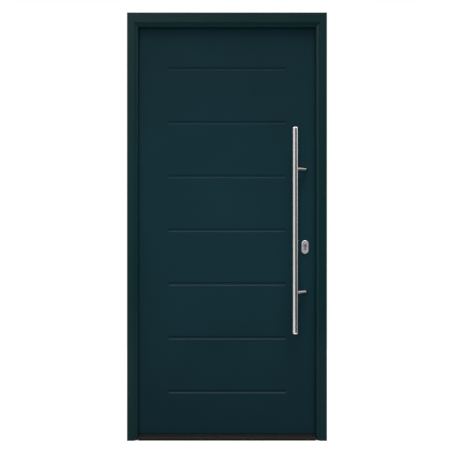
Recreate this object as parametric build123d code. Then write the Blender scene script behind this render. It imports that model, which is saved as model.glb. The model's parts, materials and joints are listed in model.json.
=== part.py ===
from build123d import *
import os
from math import hypot

os.makedirs("parts", exist_ok=True)

# A single front door in its frame. Sizes are in millimetres.
# x runs across the door with the hinges at -x and the lock at +x, y runs from the street to the room,
# z is up. The origin is at the floor, in the middle of the frame's width and depth.
# u is the distance from the frame's outer edge towards the middle of the door, and v is the distance
# from the frame's street face towards the room.

# Frame
frame_width = 980.0
frame_height = 2100.0
frame_depth = 80.0
face_width = 34.0
quirk_width = 3.0
quirk_depth = 3.0
bead_radius = 17.0
lip_return = 8.0
lip_width = 20.0
head_extra = 14.0
profile_wall = 2.0
leg_width = 22.0
cleat_leg = 130.0

# Insulating bars between the two frame profiles
break_span = 16.0
break_thickness = 2.5
break_foot_depth = 2.5
break_foot_flare = 0.75
break_cover = 0.8
break_inset = 3.5

# Leaf
leaf_thickness = 46.0
leaf_front_part = 26.0
sheet = 0.8
fold_radius = 1.2
fold_gap = 0.3
skin_trim = 0.2
edge_gap = 4.0
seal_gap = 4.0
bottom_gap = 3.0
stile_width = 32.0
top_rail_height = 32.0
bottom_rail_height = 60.0

# Pressed grooves in the street sheet
groove_count = 7
groove_side_margin = 159.5
groove_low_margin = 210.0
groove_high_margin = 214.0
groove_width = 17.5
groove_depth = 3.5
groove_run = 4.0

# Threshold
threshold_height = 19.0
threshold_nose_height = 15.0
threshold_nose_v = 2.0
threshold_nose_chamfer = 1.5
threshold_split = 2.0
threshold_wall = 2.0
threshold_ramp_run = 4.0
threshold_ramp_drop = 7.0
drain_width = 4.0
drain_depth = 2.6
drain_inset = 4.0

# Seals
lip_seal_foot = 5.0
lip_seal_depth = 3.0
rebate_seal_foot = 4.0
rebate_seal_depth = 2.0
rebate_seal_shift = 1.5
seal_bulge = 1.0
seal_tip = 1.2
bottom_seal_foot = 4.0
bottom_seal_depth = 5.0
bottom_seal_blade = 8.0
bottom_seal_front = 10.0
bottom_seal_back = 6.0
bottom_seal_end = 6.0
seat_gap = 0.3

# Wall fixings, drilled through the insulating bars
fixing_radius = 5.0
fixing_end = 150.0
fixing_count = 4

# Hinges
hinge_end = 250.0
hinge_axis_u = 24.0
hinge_axis_stand = 10.0
knuckle_radius = 9.0
knuckle_length = 38.0
knuckle_clear = 4.5
hinge_length = 100.0
hinge_leaf_length = 80.0
hinge_leaf_width = 35.0
hinge_leaf_inset = 1.0
hinge_frame_inset = 2.0
hinge_plate = 3.0
hinge_pin_radius = 4.0
running_gap = 0.06
side_gap = 0.3

# Multipoint lock
backset = 65.0
lever_z = 1049.0
lever_to_cylinder = 92.0
lock_mid_v = 45.0
forend_width = 20.0
forend_thickness = 3.0
forend_bottom = 230.0
forend_top_gap = 300.0
forend_end_relief = 0.5
case_thickness = 18.0
case_wall = 1.5
case_depth = 90.0
case_below_cylinder = 55.0
case_above_lever = 60.0

# Latch and deadbolt
bolt_thickness = 9.0
bolt_shift = 1.5
tail_thickness = 4.0
latch_height = 32.0
latch_rise = 27.0
latch_throw = 12.0
latch_inside = 19.0
latch_nose = 2.0
latch_tail_height = 8.0
lug_stand = 7.5
lug_width = 5.5
lug_low = 12.0
deadbolt_height = 36.0
deadbolt_drop = 46.0
deadbolt_head = 32.0
deadbolt_tail = 24.0
deadbolt_tail_height = 12.0
deadbolt_flush = 0.2
deadbolt_chamfer = 0.8
bolt_throw = 20.0

# Hooks
hook_low_inset = 100.0
hook_high_inset = 110.0
hook_pivot_depth = 20.0
hook_reach = 34.0
hook_arm = 10.0
hook_tooth = 9.0
hook_tooth_width = 7.0
hook_tip_chamfer = 2.0
hook_tooth_taper = 1.5
hook_thickness = 8.0
hook_pin_radius = 3.0
hook_case_below = 22.0
hook_case_above = 46.0
hook_case_behind = 20.0
window_below = 2.0
window_above = 1.0

# Drive rod behind the forend
rod_thickness = 3.0
rod_width = 13.0
rod_strip = 3.0
rod_gap = 0.4
rod_below_hook = 60.0
rod_above_hook = 70.0
rod_window_below = 17.0
rod_window_above = 5.0
rod_window_gap = 2.0

# Keeps in the frame
keep_thickness = 3.0
keep_end = 24.0
keep_clear = 2.0
keep_back_clear = 0.5
keep_window_clear = 1.0
pocket_depth = 19.0

# Profile cylinder and its rose
cylinder_radius = 8.5
cylinder_web = 10.0
cylinder_height = 33.0
cylinder_inset = 0.5
cylinder_stand = 1.0
plug_radius = 6.5
key_slot_width = 2.4
key_slot_top = 3.0
key_slot_foot = 1.5
key_slot_depth = 14.0
cam_radius = 15.0
cam_width = 9.5
cam_nose_width = 8.0
cam_nose_clear = 0.6
rose_width = 34.0
rose_height = 67.0
rose_thickness = 9.0
rose_rim = 6.5
rose_chamfer = 2.5
rose_recess = 1.5

# Inner plate and lever
plate_width = 40.0
plate_height = 215.0
plate_thickness = 8.0
plate_above_lever = 52.0
plate_corner = 8.0
plate_chamfer = 1.5
spindle_side = 8.0
spindle_inside = 6.0
spindle_outside = 16.0
lever_reach = 125.0
lever_radius = 10.0
lever_stand = 42.0
lever_end_chamfer = 2.0
collar_extra = 1.0
collar_length = 4.0
collar_gap = 0.1
follower_radius = 10.0
follower_arm = 25.0
follower_arm_width = 8.0
follower_arm_thickness = 6.0

# Pull bar
bar_radius = 14.0
bar_wall = 2.0
bar_length = 1000.0
bar_centre_z = 1031.0
bar_offset = 57.0
bar_stand = 62.0
bar_cap = 6.0
bar_cap_chamfer = 1.8
post_radius = 9.0
post_inset = 200.0
post_straight = 24.0
post_bend = 14.0

# Sizes that follow from the ones above
rebate_u = face_width + quirk_width + bead_radius - lip_width
sight_u = face_width + quirk_width + bead_radius
lip_v = quirk_depth + bead_radius + lip_return
outer_back_v = lip_v + profile_wall
inner_front_v = outer_back_v + break_span
leaf_front_v = lip_v + seal_gap
leaf_step_v = leaf_front_v + leaf_front_part
leaf_back_v = leaf_front_v + leaf_thickness
shoulder_v = leaf_step_v - seal_gap
leaf_front_u = rebate_u + edge_gap
leaf_back_u = leg_width + edge_gap
corner_z = frame_height - head_extra
leaf_bottom_z = threshold_height + bottom_gap
hinge_x = hinge_axis_u - frame_width / 2
hinge_y = frame_depth / 2 + hinge_axis_stand
hinge_heights = (hinge_end, frame_height / 2, frame_height - hinge_end)
cylinder_z = lever_z - lever_to_cylinder
lock_axis_u = leaf_front_u + backset
lock_axis_x = frame_width / 2 - lock_axis_u
latch_z = lever_z + latch_rise
deadbolt_z = lever_z - deadbolt_drop
case_front_u = leaf_front_u + forend_thickness
case_front_v = lock_mid_v - case_thickness / 2
case_back_v = lock_mid_v + case_thickness / 2
case_bottom_z = cylinder_z - case_below_cylinder
case_top_z = lever_z + case_above_lever
forend_top = frame_height - forend_top_gap
hook_heights = (forend_bottom + hook_low_inset, forend_top - hook_high_inset)
hook_pivot_u = leaf_front_u + hook_pivot_depth
rod_low = hook_heights[0] - rod_below_hook
rod_high = hook_heights[1] + rod_above_hook
bolt_v = lock_mid_v + bolt_shift
bolt_front_v = bolt_v - bolt_thickness / 2
bolt_back_v = bolt_v + bolt_thickness / 2
bar_x = lock_axis_x - bar_offset
bar_y = leaf_front_v - frame_depth / 2 - bar_stand
break_places = (
    profile_wall + break_inset,
    rebate_u - keep_thickness - break_cover - break_foot_flare - break_thickness / 2,
)
rebate_seal_u = (rebate_u - keep_thickness + leg_width) / 2 + rebate_seal_shift


def lock_x(u):
    return frame_width / 2 - u


def depth_y(v):
    return v - frame_depth / 2


def box(x_from, x_to, y_from, y_to, z_from, z_to):
    middle = Pos((x_from + x_to) / 2, (y_from + y_to) / 2, (z_from + z_to) / 2)
    return middle * Box(x_to - x_from, y_to - y_from, z_to - z_from)


def lock_box(u_from, u_to, v_from, v_to, z_from, z_to):
    """A block on the lock side, given by its distances from the frame's edge and street face."""
    return box(lock_x(u_to), lock_x(u_from), depth_y(v_from), depth_y(v_to), z_from, z_to)


def full_box(u, v_from, v_to, z_from, z_to):
    """A block across the whole door, as far from both edges of the frame."""
    return box(-lock_x(u), lock_x(u), depth_y(v_from), depth_y(v_to), z_from, z_to)


def mirrored(shape):
    return mirror(shape, about=Plane.YZ)


def rod_along_x(x_from, x_to, y, z, radius):
    return Pos((x_from + x_to) / 2, y, z) * Rot(0, 90, 0) * Cylinder(radius, x_to - x_from)


def rod_along_y(x, y_from, y_to, z, radius):
    return Pos(x, (y_from + y_to) / 2, z) * Rot(90, 0, 0) * Cylinder(radius, y_to - y_from)


def rod_along_z(x, y, z_from, z_to, radius):
    return Pos(x, y, (z_from + z_to) / 2) * Cylinder(radius, z_to - z_from)


def face_of(*curves):
    edges = [edge for curve in curves for edge in curve.edges()]
    return Face(Wire(edges))


def rectangle(a_from, a_to, b_from, b_to):
    return Pos((a_from + a_to) / 2, (b_from + b_to) / 2) * Rectangle(a_to - a_from, b_to - b_from)


def bar_section(u):
    """One insulating bar with its two crimped feet, as wide as the gap between the two profiles."""
    half = break_thickness / 2
    foot = half + break_foot_flare
    low = outer_back_v
    high = inner_front_v
    return Polygon(
        (u - half, low),
        (u - foot, low - break_foot_depth),
        (u + foot, low - break_foot_depth),
        (u + half, low),
        (u + half, high),
        (u + foot, high + break_foot_depth),
        (u - foot, high + break_foot_depth),
        (u - half, high),
        align=None,
    )


def outer_section(extra):
    """The street-side hollow profile: flat face, quirk, rounded bead and the lip over the leaf."""
    bead_u = face_width + quirk_width
    bead_end_v = quirk_depth + bead_radius
    front = Polyline((-extra, 0), (face_width, 0), (face_width, quirk_depth), (bead_u, quirk_depth))
    bead = CenterArc((bead_u, bead_end_v), bead_radius, -90, 90)
    back = Polyline(
        (sight_u, bead_end_v),
        (sight_u, lip_v),
        (rebate_u, lip_v),
        (rebate_u, outer_back_v),
        (-extra, outer_back_v),
        (-extra, 0),
    )
    outline = face_of(front, bead, back)
    wall = profile_wall
    chamber_front = Polyline(
        (wall - extra, lip_v - wall),
        (wall - extra, wall),
        (face_width - wall, wall),
        (face_width - wall, quirk_depth + wall),
        (bead_u, quirk_depth + wall),
    )
    chamber_bead = CenterArc((bead_u, bead_end_v), bead_radius - wall, -90, 90)
    chamber_back = Polyline(
        (sight_u - wall, bead_end_v), (sight_u - wall, lip_v - wall), (wall - extra, lip_v - wall)
    )
    chamber = face_of(chamber_front, chamber_bead, chamber_back)
    for place in break_places:
        reach = break_thickness / 2 + break_foot_flare + wall
        chamber -= rectangle(
            place - reach, place + reach, outer_back_v - break_foot_depth - wall, outer_back_v
        )
        outline -= bar_section(place)
    seal_u = (sight_u + rebate_u) / 2
    half = lip_seal_foot / 2
    chamber -= rectangle(
        seal_u - half - wall, seal_u + half + wall, lip_v - lip_seal_depth - wall, lip_v
    )
    outline -= rectangle(seal_u - half, seal_u + half, lip_v - lip_seal_depth, lip_v)
    return outline - chamber


def inner_section(extra):
    """The room-side hollow profile: the shoulder that the leaf closes against, and the leg beside it."""
    outline = Polygon(
        (-extra, inner_front_v),
        (rebate_u, inner_front_v),
        (rebate_u, shoulder_v),
        (leg_width, shoulder_v),
        (leg_width, frame_depth),
        (-extra, frame_depth),
        align=None,
    )
    chamber = rectangle(
        profile_wall - extra,
        leg_width - profile_wall,
        inner_front_v + break_foot_depth + profile_wall,
        frame_depth - profile_wall,
    )
    for place in break_places:
        outline -= bar_section(place)
    half = rebate_seal_foot / 2
    outline -= rectangle(
        rebate_seal_u - half, rebate_seal_u + half, shoulder_v - rebate_seal_depth, shoulder_v
    )
    return outline - chamber


def seal_section(u, v, foot, depth, gap):
    """A rubber seal: a foot in its groove and a lip that narrows as it reaches across the gap."""
    half = foot / 2
    bulge = half + seal_bulge
    tip_v = v + gap - seat_gap
    return Polygon(
        (u - bulge, v),
        (u - half, v),
        (u - half, v - depth),
        (u + half, v - depth),
        (u + half, v),
        (u + bulge, v),
        (u + seal_tip, tip_v),
        (u - seal_tip, tip_v),
        align=None,
    )


def jamb_zone():
    """The hinge jamb's side of the mitre, with the wider head running over its top."""
    reach = 2 * sight_u
    outline = Polygon((0, 0), (reach, 0), (reach, corner_z - reach), (0, corner_z), align=None)
    placed = Plane(origin=(-frame_width / 2, 0, 0), x_dir=(1, 0, 0), z_dir=(0, -1, 0)) * outline
    return extrude(placed, amount=frame_depth, both=True)


def members(jamb_face, head_face, bottom_z=0.0):
    """The hinge jamb, the lock jamb and the head of one section, cut to their mitres."""
    placed = Pos(-frame_width / 2, -frame_depth / 2, bottom_z) * jamb_face
    hinge = extrude(placed, amount=frame_height - bottom_z, dir=(0, 0, 1)) & jamb_zone()
    lock = mirrored(hinge)
    head_plane = Plane(
        origin=(-frame_width / 2, -frame_depth / 2, corner_z), x_dir=(0, 0, -1), z_dir=(1, 0, 0)
    )
    head = extrude(head_plane * head_face, amount=frame_width, dir=(1, 0, 0))
    head = head - jamb_zone() - mirrored(jamb_zone())
    return hinge, lock, head


def fixing_holes():
    """The bores for the wall fixings, spaced evenly up both jambs."""
    pitch = (frame_height - 2 * fixing_end) / (fixing_count - 1)
    y = depth_y((outer_back_v + inner_front_v) / 2)
    holes = []
    for index in range(fixing_count):
        z = fixing_end + pitch * index
        hole = rod_along_x(lock_x(sight_u), lock_x(0), y, z, fixing_radius)
        holes += [hole, mirrored(hole)]
    return holes


def insulating_bars(pockets):
    """The two bars of each jamb and of the head."""
    holes = fixing_holes()
    bars = []
    for place in break_places:
        hinge_bar, lock_bar, head_bar = members(bar_section(place), bar_section(place))
        bars += [hinge_bar - holes, lock_bar - pockets - holes, head_bar]
    return bars


def corner_cleat(v_from, v_to, width):
    """An angle that lies in the chambers of the jamb and the head and holds the mitre."""
    left = -frame_width / 2 + profile_wall + seat_gap
    top = corner_z - profile_wall - seat_gap
    upright = box(left, left + width, depth_y(v_from), depth_y(v_to), top - cleat_leg, top)
    level = box(left, left + cleat_leg, depth_y(v_from), depth_y(v_to), top - width, top)
    return upright + level


def corner_cleats():
    wall = profile_wall + seat_gap
    outer_end = outer_back_v - break_foot_depth - wall
    inner_start = inner_front_v + break_foot_depth + wall
    outer = corner_cleat(wall, outer_end, face_width - 2 * wall)
    inner = corner_cleat(inner_start, frame_depth - wall, leg_width - 2 * wall)
    return [outer, inner, mirrored(outer), mirrored(inner)]


def across_door(face, u):
    """A section drawn in v and z, run across the door between the two jambs."""
    plane = Plane(origin=(-lock_x(u), -frame_depth / 2, 0), x_dir=(0, 1, 0), z_dir=(1, 0, 0))
    return extrude(plane * face, amount=2 * lock_x(u), dir=(1, 0, 0))


def threshold_parts():
    """Nose, insulating part and room part, notched round the jambs' stepped section."""
    split_outer = leaf_front_v + threshold_split
    split_inner = split_outer + break_span
    wall = threshold_wall
    nose = threshold_nose_v
    slope = (threshold_height - threshold_nose_height) / (split_outer - nose)
    drain_from = nose + drain_inset
    drain_to = drain_from + drain_width
    drain_z = threshold_nose_height - drain_depth
    outline = Polygon(
        (nose, 0),
        (split_outer, 0),
        (split_outer, threshold_height),
        (drain_to, threshold_nose_height + slope * (drain_to - nose)),
        (drain_to, drain_z),
        (drain_from, drain_z),
        (drain_from, threshold_nose_height),
        (nose + threshold_nose_chamfer, threshold_nose_height),
        (nose, threshold_nose_height - threshold_nose_chamfer),
        align=None,
    )
    chamber = Polygon(
        (drain_to + wall, wall),
        (split_outer - wall, wall),
        (split_outer - wall, threshold_height - 1.6 * wall),
        (drain_to + wall, threshold_nose_height - wall),
        align=None,
    )
    front_chamber = rectangle(nose + wall, drain_to, wall, drain_z - wall)
    outer = across_door(outline - chamber - front_chamber, rebate_u)
    lips = lock_box(0, sight_u, 0, lip_v, 0, threshold_height)
    outer = outer - lips - mirrored(lips)

    middle_outline = rectangle(split_outer, split_inner, 0, threshold_height)
    middle_chamber = rectangle(split_outer + wall, split_inner - wall, wall, threshold_height - wall)
    middle = across_door(middle_outline - middle_chamber, rebate_u)

    ramp_v = leaf_back_v - threshold_ramp_run
    inner_outline = Polygon(
        (split_inner, 0),
        (leaf_back_v, 0),
        (leaf_back_v, threshold_height - threshold_ramp_drop),
        (ramp_v, threshold_height),
        (split_inner, threshold_height),
        align=None,
    )
    inner_chamber = rectangle(split_inner + wall, ramp_v - wall, wall, threshold_height - wall)
    inner = across_door(inner_outline - inner_chamber, leg_width)
    shoulders = lock_box(0, rebate_u, 0, shoulder_v, 0, threshold_height)
    inner = inner - shoulders - mirrored(shoulders)
    return outer, middle, inner


def leaf_top_z(u):
    return corner_z - u


def groove_heights():
    """The grooves' middles, spaced evenly between the margins at the leaf's foot and top."""
    first = leaf_bottom_z + groove_low_margin
    last = leaf_top_z(leaf_front_u) - groove_high_margin
    pitch = (last - first) / (groove_count - 1)
    return [first + pitch * index for index in range(groove_count)]


def trough(length, width, depth, face_v, z):
    """The sloped pocket of one pressed groove, open towards the street."""
    plane = Plane(origin=(0, depth_y(face_v), z), x_dir=(1, 0, 0), z_dir=(0, 1, 0))
    mouth = plane * Rectangle(length, width)
    floor = plane.offset(depth) * Rectangle(length - 2 * groove_run, width - 2 * groove_run)
    return loft([mouth, floor], ruled=True)


def grooves(thickness):
    """The grooves on the sheet's front, or on its back when the sheet's thickness is given."""
    length = 2 * (lock_x(leaf_front_u) - groove_side_margin)
    spread = thickness * (hypot(groove_run, groove_depth) - groove_run) / groove_depth
    return [
        trough(length + 2 * spread, groove_width + 2 * spread, groove_depth, leaf_front_v + thickness, z)
        for z in groove_heights()
    ]


def rounded_front_block(inset, back_v, radius):
    """The leaf's street part, with its front edges rounded by the fold of the sheet."""
    block = full_box(
        leaf_front_u + inset,
        leaf_front_v + inset,
        back_v,
        leaf_bottom_z + inset,
        leaf_top_z(leaf_front_u) - inset,
    )
    front_edges = block.faces().sort_by(Axis.Y)[0].edges()
    return fillet(front_edges, radius)


def back_block(inset):
    """The leaf's wider room part."""
    return full_box(
        leaf_back_u + inset,
        leaf_step_v + inset,
        leaf_back_v - inset,
        leaf_bottom_z + inset,
        leaf_top_z(leaf_back_u) - inset,
    )


def leaf_outer_skin():
    body = rounded_front_block(0.0, leaf_step_v - fold_gap, fold_radius) - grooves(0.0)
    hollow = rounded_front_block(sheet, leaf_step_v + sheet, fold_radius - sheet) - grooves(sheet)
    return body - hollow


def leaf_inner_skin():
    body = back_block(0.0)
    back_edges = body.faces().sort_by(Axis.Y)[-1].edges()
    body = fillet(back_edges, fold_radius)
    mouth = full_box(
        leaf_front_u - skin_trim,
        leaf_step_v - sheet,
        leaf_step_v + 2 * sheet,
        leaf_bottom_z + sheet,
        leaf_top_z(leaf_front_u) + skin_trim,
    )
    return body - back_block(sheet) - mouth


def leaf_members():
    """Hinge stile, lock stile, top rail, bottom rail and core, cut from the leaf's inside."""
    front = rounded_front_block(sheet, leaf_step_v + sheet, fold_radius - sheet)
    volume = front + back_block(sheet)
    stile_u = leaf_front_u + sheet + stile_width
    top_z = leaf_top_z(leaf_front_u) - sheet - top_rail_height
    bottom_z = leaf_bottom_z + sheet + bottom_rail_height
    lock = volume & lock_box(0, stile_u, 0, frame_depth, 0, frame_height)
    hinge = mirrored(lock)
    top = volume & full_box(stile_u, 0, frame_depth, top_z, frame_height)
    bottom = volume & full_box(stile_u, 0, frame_depth, 0, bottom_z)
    core = volume & full_box(stile_u, 0, frame_depth, bottom_z, top_z)
    return hinge, lock, top, bottom, core - grooves(sheet)


def bottom_seals():
    """Two blades under the leaf, one below each half of its thickness."""
    solids = []
    for v in (leaf_front_v + bottom_seal_front, leaf_step_v + bottom_seal_back):
        foot = full_box(
            leaf_front_u + bottom_seal_end,
            v - bottom_seal_foot / 2,
            v + bottom_seal_foot / 2,
            leaf_bottom_z,
            leaf_bottom_z + bottom_seal_depth,
        )
        blade = full_box(
            leaf_front_u + bottom_seal_end,
            v - bottom_seal_blade / 2,
            v + bottom_seal_blade / 2,
            threshold_height + seat_gap,
            leaf_bottom_z,
        )
        solids.append(foot + blade)
    return solids


def hinge_frame_part(z):
    """A plate on the frame's room face, with two knuckles and the pin that joins them."""
    edge = -frame_width / 2
    face_y = depth_y(frame_depth)
    half = hinge_length / 2
    mid = knuckle_length / 2 + side_gap
    plate = box(edge + hinge_frame_inset, hinge_x, face_y, face_y + hinge_plate, z - half, z + half)
    plate -= box(hinge_x - knuckle_radius - knuckle_clear, hinge_x, face_y, face_y + hinge_plate,
                 z - mid, z + mid)
    upper = rod_along_z(hinge_x, hinge_y, z + mid, z + half, knuckle_radius)
    lower = rod_along_z(hinge_x, hinge_y, z - half, z - mid, knuckle_radius)
    pin = rod_along_z(hinge_x, hinge_y, z - mid, z + mid, hinge_pin_radius)
    return plate + upper + lower + pin


def hinge_leaf_part(z):
    """A plate on the leaf's room face with the middle knuckle."""
    edge = -frame_width / 2
    face_y = depth_y(leaf_back_v)
    mid = knuckle_length / 2
    half = hinge_leaf_length / 2
    start = edge + leaf_back_u + hinge_leaf_inset
    plate = box(start, start + hinge_leaf_width, face_y, face_y + hinge_plate, z - half, z + half)
    foot = box(start, hinge_x + knuckle_radius, face_y, face_y + hinge_plate, z - mid, z + mid)
    arm = box(hinge_x, hinge_x + knuckle_radius, face_y + hinge_plate, hinge_y, z - mid, z + mid)
    knuckle = rod_along_z(hinge_x, hinge_y, z - mid, z + mid, knuckle_radius)
    bore = rod_along_z(hinge_x, hinge_y, z - mid, z + mid, hinge_pin_radius + running_gap)
    return plate + foot + arm + knuckle - bore


def hook_at_rest(z):
    """The swinging hook, drawn thrown with its tooth down and then turned up into its case."""
    inner = hook_reach - hook_tooth_width
    half = hook_arm / 2
    outline = Polygon(
        (0, half),
        (hook_reach - hook_tip_chamfer, half),
        (hook_reach, half - hook_tip_chamfer),
        (hook_reach, -half - hook_tooth),
        (inner + hook_tooth_taper, -half - hook_tooth),
        (inner, -half),
        (0, -half),
        align=None,
    )
    outline = outline + Circle(half) - Circle(hook_pin_radius + running_gap)
    place = Pos(lock_x(hook_pivot_u), depth_y(bolt_v), z)
    turned = Rot(90, 0, 0) * Rot(0, 0, 90) * outline
    return extrude(place * turned, amount=hook_thickness / 2, both=True)


def hook_case_block(z):
    return lock_box(case_front_u, hook_pivot_u + hook_case_behind, case_front_v, case_back_v,
                    z - hook_case_below, z + hook_case_above)


def hook_case(z):
    """A small steel case round one hook, open at the forend, with the hook's pin across it."""
    low = z - hook_case_below
    high = z + hook_case_above
    hollow = lock_box(case_front_u, hook_pivot_u + hook_case_behind - case_wall,
                      case_front_v + case_wall, case_back_v - case_wall, low + case_wall,
                      high - case_wall)
    slot = lock_box(case_front_u, case_front_u + rod_gap + rod_thickness + 2 * rod_gap,
                    case_front_v + case_wall, case_back_v - case_wall, low, high)
    pin = rod_along_y(lock_x(hook_pivot_u), depth_y(case_front_v), depth_y(case_back_v), z,
                      hook_pin_radius)
    return hook_case_block(z) - hollow - slot + pin


def hook_window(z, extra=0.0):
    """How low and how high the hook reaches on its way out, with room to spare."""
    return z - hook_arm / 2 - window_below - extra, z + hook_reach + window_above + extra


def drive_rod():
    """One flat bar behind the forend, narrowed beside the hooks, the bolts and the cylinder."""
    front_u = case_front_u + rod_gap
    v_from = lock_mid_v - rod_width / 2
    bar = lock_box(front_u, front_u + rod_thickness, v_from, v_from + rod_width, rod_low, rod_high)
    windows = [
        (z - rod_window_below - bolt_throw, z + hook_reach + rod_window_above) for z in hook_heights
    ]
    windows.append((
        deadbolt_z - deadbolt_height / 2 - bolt_throw - rod_window_gap,
        latch_z + latch_height / 2 + rod_window_gap,
    ))
    windows.append((
        cylinder_z - cylinder_height - bolt_throw,
        cylinder_z - cylinder_radius - rod_window_gap,
    ))
    for low, high in windows:
        bar -= lock_box(front_u, front_u + rod_thickness, v_from + rod_strip, v_from + rod_width,
                        low, high)
    return bar


def rod_channel():
    """The room for the bar and its travel."""
    half = rod_width / 2 + rod_gap
    return lock_box(case_front_u, case_front_u + rod_thickness + 2 * rod_gap, lock_mid_v - half,
                    lock_mid_v + half, rod_low - rod_gap, rod_high + bolt_throw + rod_gap)


def latch_bolt():
    """The sprung latch: a head with a closing ramp on its street side, a tail and a lug."""
    tip_u = leaf_front_u - latch_throw
    back_u = leaf_front_u + latch_inside
    outline = Polygon(
        (lock_x(back_u), depth_y(bolt_front_v)),
        (lock_x(leaf_front_u), depth_y(bolt_front_v)),
        (lock_x(tip_u), depth_y(bolt_back_v - latch_nose)),
        (lock_x(tip_u), depth_y(bolt_back_v)),
        (lock_x(back_u), depth_y(bolt_back_v)),
        align=None,
    )
    head = extrude(Pos(0, 0, latch_z - latch_height / 2) * outline, amount=latch_height)
    half = tail_thickness / 2
    tail_low = latch_z
    lug_from = lock_axis_u + lug_stand
    lug_to = lug_from + lug_width
    tail = lock_box(back_u, lug_to, bolt_v - half, bolt_v + half, tail_low,
                    tail_low + latch_tail_height)
    lug = lock_box(lug_from, lug_to, bolt_v - half, bolt_v + half, lever_z + lug_low, tail_low)
    return head + tail + lug


def deadbolt():
    front_u = leaf_front_u + deadbolt_flush
    back_u = leaf_front_u + deadbolt_head
    half = deadbolt_height / 2
    head = lock_box(front_u, back_u, bolt_front_v, bolt_back_v, deadbolt_z - half, deadbolt_z + half)
    head = chamfer(head.faces().sort_by(Axis.X)[-1].edges(), deadbolt_chamfer)
    half = deadbolt_tail_height / 2
    tail = lock_box(back_u, back_u + deadbolt_tail, bolt_v - tail_thickness / 2,
                    bolt_v + tail_thickness / 2, deadbolt_z - half, deadbolt_z + half)
    return head + tail


def euro_section(gap=0.0):
    """The outline of a profile cylinder about its plug, seen along the plug."""
    foot = cylinder_web / 2
    foot_z = cylinder_radius - cylinder_height + foot
    web = rectangle(-foot - gap, foot + gap, foot_z, 0)
    return Circle(cylinder_radius + gap) + web + Pos(0, foot_z) * Circle(foot + gap)


def along_cylinder(section, v_from, v_to, z=cylinder_z):
    plane = Plane(origin=(lock_axis_x, depth_y(v_from), z), x_dir=(-1, 0, 0), z_dir=(0, 1, 0))
    return extrude(plane * section, amount=v_to - v_from, dir=(0, 1, 0))


def cylinder_ends():
    """Where the cylinder starts on the street side and ends on the room side."""
    start = leaf_front_v - rose_thickness + cylinder_inset
    return start, leaf_back_v + plate_thickness + cylinder_stand


def cylinder_body():
    """The housing, bored for its plugs and cut away in the middle for the cam's full turn."""
    start, end = cylinder_ends()
    body = along_cylinder(euro_section(), start, end)
    body -= along_cylinder(Circle(plug_radius + running_gap), start, end)
    slot_half = cam_width / 2 + side_gap
    slot = rectangle(-cam_radius, cam_radius, -cam_radius - side_gap, cam_radius)
    return body - along_cylinder(slot, lock_mid_v - slot_half, lock_mid_v + slot_half)


def cylinder_plug(v_from, v_to, slot_from, slot_to):
    """A plug with its key slot open at the outer end."""
    plug = along_cylinder(Circle(plug_radius), v_from, v_to)
    half = key_slot_width / 2
    slot = rectangle(-half, half, key_slot_foot - plug_radius, plug_radius - key_slot_top)
    return plug - along_cylinder(slot, slot_from, slot_to)


def cylinder_plugs():
    start, end = cylinder_ends()
    half = cam_width / 2
    outer = cylinder_plug(start, lock_mid_v - half, start, start + key_slot_depth)
    inner = cylinder_plug(lock_mid_v + half, end, end - key_slot_depth, end)
    return outer, inner


def cylinder_cam():
    """The cam between the plugs, with its nose up at rest."""
    nose = rectangle(-cam_nose_width / 2, cam_nose_width / 2, 0, cam_radius - cam_nose_clear)
    half = cam_width / 2
    return along_cylinder(Circle(plug_radius) + nose, lock_mid_v - half, lock_mid_v + half)


def stadium(width, height):
    return Rot(0, 0, 90) * SlotOverall(height, width)


def outer_rose():
    """The oval rose with a bevelled rim and a sunk field round the cylinder."""
    centre_z = cylinder_z + cylinder_radius - cylinder_height / 2
    front_v = leaf_front_v - rose_thickness
    body = along_cylinder(stadium(rose_width, rose_height), front_v, leaf_front_v, centre_z)
    front_edges = body.faces().sort_by(Axis.Y)[0].edges()
    body = chamfer(front_edges, rose_chamfer)
    field = stadium(rose_width - 2 * rose_rim, rose_height - 2 * rose_rim)
    body -= along_cylinder(field, front_v, front_v + rose_recess, centre_z)
    return body - along_cylinder(euro_section(seat_gap), front_v, leaf_front_v)


def inner_plate():
    """The room-side plate that carries the lever's bearing and surrounds the cylinder."""
    top_z = lever_z + plate_above_lever
    start = depth_y(leaf_back_v)
    plate = box(lock_axis_x - plate_width / 2, lock_axis_x + plate_width / 2, start,
                start + plate_thickness, top_z - plate_height, top_z)
    plate = fillet(plate.edges().filter_by(Axis.Y), plate_corner)
    plate = chamfer(plate.faces().sort_by(Axis.Y)[-1].edges(), plate_chamfer)
    plate -= rod_along_y(lock_axis_x, start, start + plate_thickness, lever_z,
                         lever_radius + collar_extra + collar_gap)
    return plate - along_cylinder(euro_section(seat_gap), leaf_back_v, leaf_back_v + plate_thickness)


def square_bar(side, y_from, y_to):
    """A square bar along the lever's axis."""
    half = side / 2
    return box(lock_axis_x - half, lock_axis_x + half, y_from, y_to, lever_z - half, lever_z + half)


def spindle():
    end = depth_y(leaf_back_v) + plate_thickness + spindle_outside
    return square_bar(spindle_side, depth_y(lock_mid_v - spindle_inside), end)


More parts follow.
